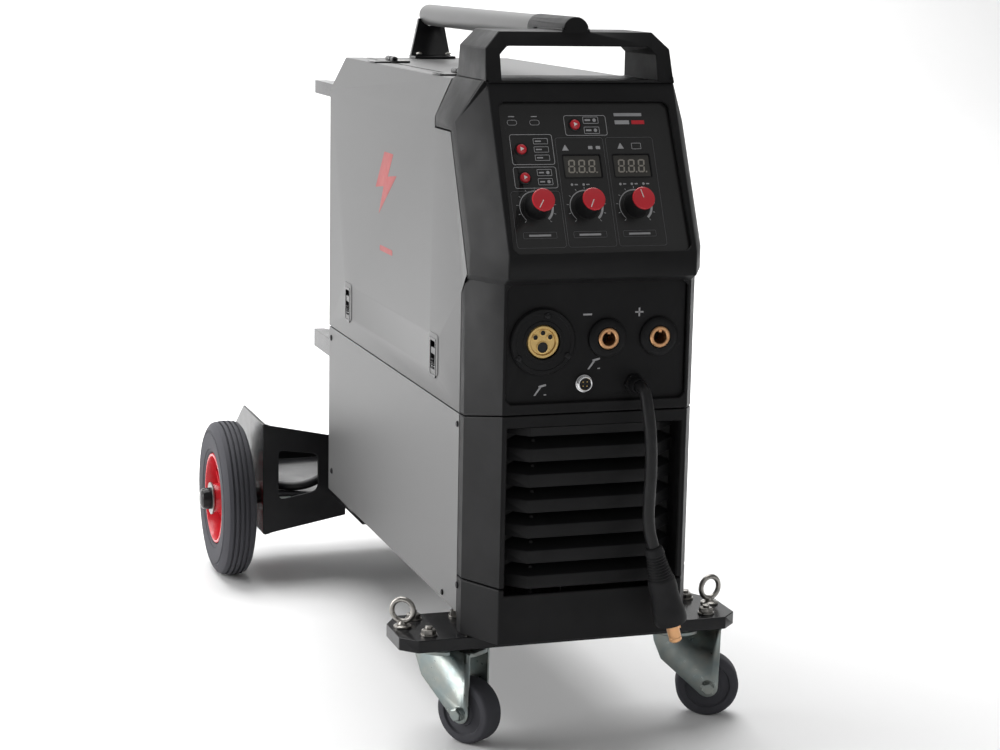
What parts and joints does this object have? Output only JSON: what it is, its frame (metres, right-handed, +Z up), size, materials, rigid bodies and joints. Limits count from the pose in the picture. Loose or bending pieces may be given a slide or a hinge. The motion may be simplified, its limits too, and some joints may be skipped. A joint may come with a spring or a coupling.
{
  "type": "mig welder on cart",
  "caption": "Wheeled arc-welding power source with a hinged wire-feed side door, sloping control panel, carrying loop, bottle tray, swivel casters and a polarity lead.",
  "frame": {"origin": "centre of the bounding box's footprint on the floor, free cords left out", "axes": "+Z up, -Y towards the control panel's side, +X to the machine's right seen from the front"},
  "size_m": [0.512, 1.0999, 0.7245],
  "materials": {
    "aluminium": "cast and extruded",
    "black_plastic": "fine textured black moulding",
    "black_rubber": "moulded rubber grip",
    "brass": "turned brass",
    "cable_jacket": "black cable sheath",
    "chrome": "plated",
    "copper": "turned copper alloy",
    "display_window": "grey display window with pale segments",
    "gloss_black": "glossy black paint on sheet steel",
    "panel_film": "satin printed film",
    "powder_coat": "satin dark grey powder coat, lightly textured",
    "red_plastic": "satin red moulded plastic",
    "spool_plastic": "moulded spool",
    "steel": "forged and turned steel",
    "wheel_rubber": "dark solid rubber",
    "zinc": "bright blue zinc plate on pressed steel"
  },
  "bodies": {
    "machine": {"base_moulding": "black_plastic", "base_pan": "powder_coat", "bottle_tray": "gloss_black", "control_panel": "panel_film", "control_socket": "chrome", "cover": "powder_coat", "divider_wall": "powder_coat", "feeder_motor": "aluminium", "front_hinge": "gloss_black", "front_plate": "gloss_black", "handle_post": "gloss_black", "handle_tube": "powder_coat", "lead_gland": "black_plastic", "lead_plug": "black_rubber", "left_caster_plate": "zinc", "left_display": "display_window", "left_eye_bolt": "steel", "lower_bottle_bracket": "gloss_black", "lower_fascia": "black_plastic", "lower_left_panel": "powder_coat", "mains_cable": "cable_jacket", "mains_coil": "cable_jacket", "mains_gland": "black_plastic", "mains_plug": "black_rubber", "negative_socket": "copper", "polarity_lead": "cable_jacket", "positive_socket": "copper", "power_block": "aluminium", "rear_axle": "zinc", "rear_hinge": "gloss_black", "rear_panel": "powder_coat", "right_caster_plate": "zinc", "right_display": "display_window", "right_eye_bolt": "steel", "torch_flange": "black_plastic", "torch_socket": "brass", "upper_bottle_bracket": "gloss_black", "upper_fascia": "black_plastic"},
    "door": {"side_door": "powder_coat"},
    "front_catch": {"front_latch": "gloss_black"},
    "rear_catch": {"rear_latch": "gloss_black"},
    "left_dial": {"left_knob": "red_plastic"},
    "middle_dial": {"middle_knob": "red_plastic"},
    "right_dial": {"right_knob": "red_plastic"},
    "mode_key": {"mode_button": "red_plastic"},
    "gas_key": {"gas_button": "red_plastic"},
    "trigger_key": {"trigger_button": "red_plastic"},
    "left_swivel": {"left_caster_fork": "zinc"},
    "right_swivel": {"right_caster_fork": "zinc"},
    "left_front_wheel": {"left_caster_wheel": "wheel_rubber"},
    "right_front_wheel": {"right_caster_wheel": "wheel_rubber"},
    "left_rear_wheel": {"left_tyre": "wheel_rubber", "left_rim": "red_plastic"},
    "right_rear_wheel": {"right_tyre": "wheel_rubber", "right_rim": "red_plastic"},
    "spool": {"wire_spool": "spool_plastic"},
    "feed_roll": {"drive_roll": "steel"},
    "feed_arm": {"pressure_arm": "aluminium"},
    "fan": {"fan_rotor": "black_plastic"},
    "switch": {"mains_switch": "red_plastic"}
  },
  "joints": [
    {"name": "door_hinge", "type": "hinge", "parent": "machine", "child": "door", "pos_m": [-0.078, -0.077, 0.664], "axis": [0, 1, 0], "range_deg": [0, 105]},
    {"name": "front_catch_slide", "type": "slide", "parent": "door", "child": "front_catch", "axis": [0, 0, 1], "range_m": [0, 0.009]},
    {"name": "rear_catch_slide", "type": "slide", "parent": "door", "child": "rear_catch", "axis": [0, 0, 1], "range_m": [0, 0.009]},
    {"name": "left_dial_turn", "type": "hinge", "parent": "machine", "child": "left_dial", "pos_m": [-0.061, -0.41865, 0.548], "axis": [0, -0.8995, 0.437], "range_deg": [-135, 135]},
    {"name": "middle_dial_turn", "type": "hinge", "parent": "machine", "child": "middle_dial", "pos_m": [-0.01, -0.41865, 0.548], "axis": [0, -0.8995, 0.437], "range_deg": [-135, 135]},
    {"name": "right_dial_turn", "type": "hinge", "parent": "machine", "child": "right_dial", "pos_m": [0.041, -0.41865, 0.548], "axis": [0, -0.8995, 0.437], "range_deg": [-135, 135]},
    {"name": "mode_key_press", "type": "slide", "parent": "machine", "child": "mode_key", "axis": [0, 0.8995, -0.437], "range_m": [0, 0.0012], "stiffness_N_per_m": 300},
    {"name": "gas_key_press", "type": "slide", "parent": "machine", "child": "gas_key", "axis": [0, 0.8995, -0.437], "range_m": [0, 0.0012], "stiffness_N_per_m": 300},
    {"name": "trigger_key_press", "type": "slide", "parent": "machine", "child": "trigger_key", "axis": [0, 0.8995, -0.437], "range_m": [0, 0.0012], "stiffness_N_per_m": 300},
    {"name": "left_swivel_turn", "type": "hinge", "parent": "machine", "child": "left_swivel", "pos_m": [-0.127, -0.3435, 0.09], "axis": [0, 0, 1], "continuous": true},
    {"name": "right_swivel_turn", "type": "hinge", "parent": "machine", "child": "right_swivel", "pos_m": [0.127, -0.3435, 0.09], "axis": [0, 0, 1], "continuous": true},
    {"name": "left_front_roll", "type": "hinge", "parent": "left_swivel", "child": "left_front_wheel", "pos_m": [-0.10687, -0.37334, 0.033], "axis": [0.829, 0.5592, 0], "continuous": true},
    {"name": "right_front_roll", "type": "hinge", "parent": "right_swivel", "child": "right_front_wheel", "pos_m": [0.16083, -0.35581, 0.033], "axis": [0.342, 0.9397, 0], "continuous": true},
    {"name": "left_rear_roll", "type": "hinge", "parent": "machine", "child": "left_rear_wheel", "pos_m": [-0.221, 0.3005, 0.098], "axis": [1, 0, 0], "continuous": true},
    {"name": "right_rear_roll", "type": "hinge", "parent": "machine", "child": "right_rear_wheel", "pos_m": [0.221, 0.3005, 0.098], "axis": [1, 0, 0], "continuous": true},
    {"name": "spool_turn", "type": "hinge", "parent": "machine", "child": "spool", "pos_m": [-0.037, -0.0265, 0.48], "axis": [1, 0, 0], "continuous": true},
    {"name": "feed_roll_turn", "type": "hinge", "parent": "machine", "child": "feed_roll", "pos_m": [-0.055, -0.2315, 0.401], "axis": [1, 0, 0], "continuous": true},
    {"name": "feed_arm_lift", "type": "hinge", "parent": "machine", "child": "feed_arm", "pos_m": [-0.055, -0.2745, 0.442], "axis": [1, 0, 0], "range_deg": [0, 50]},
    {"name": "fan_turn", "type": "hinge", "parent": "machine", "child": "fan", "pos_m": [0.058, 0.16, 0.235], "axis": [0, 1, 0], "continuous": true},
    {"name": "switch_turn", "type": "hinge", "parent": "machine", "child": "switch", "pos_m": [0.055, 0.1745, 0.59], "axis": [0, 1, 0], "range_deg": [0, 90]}
  ]
}
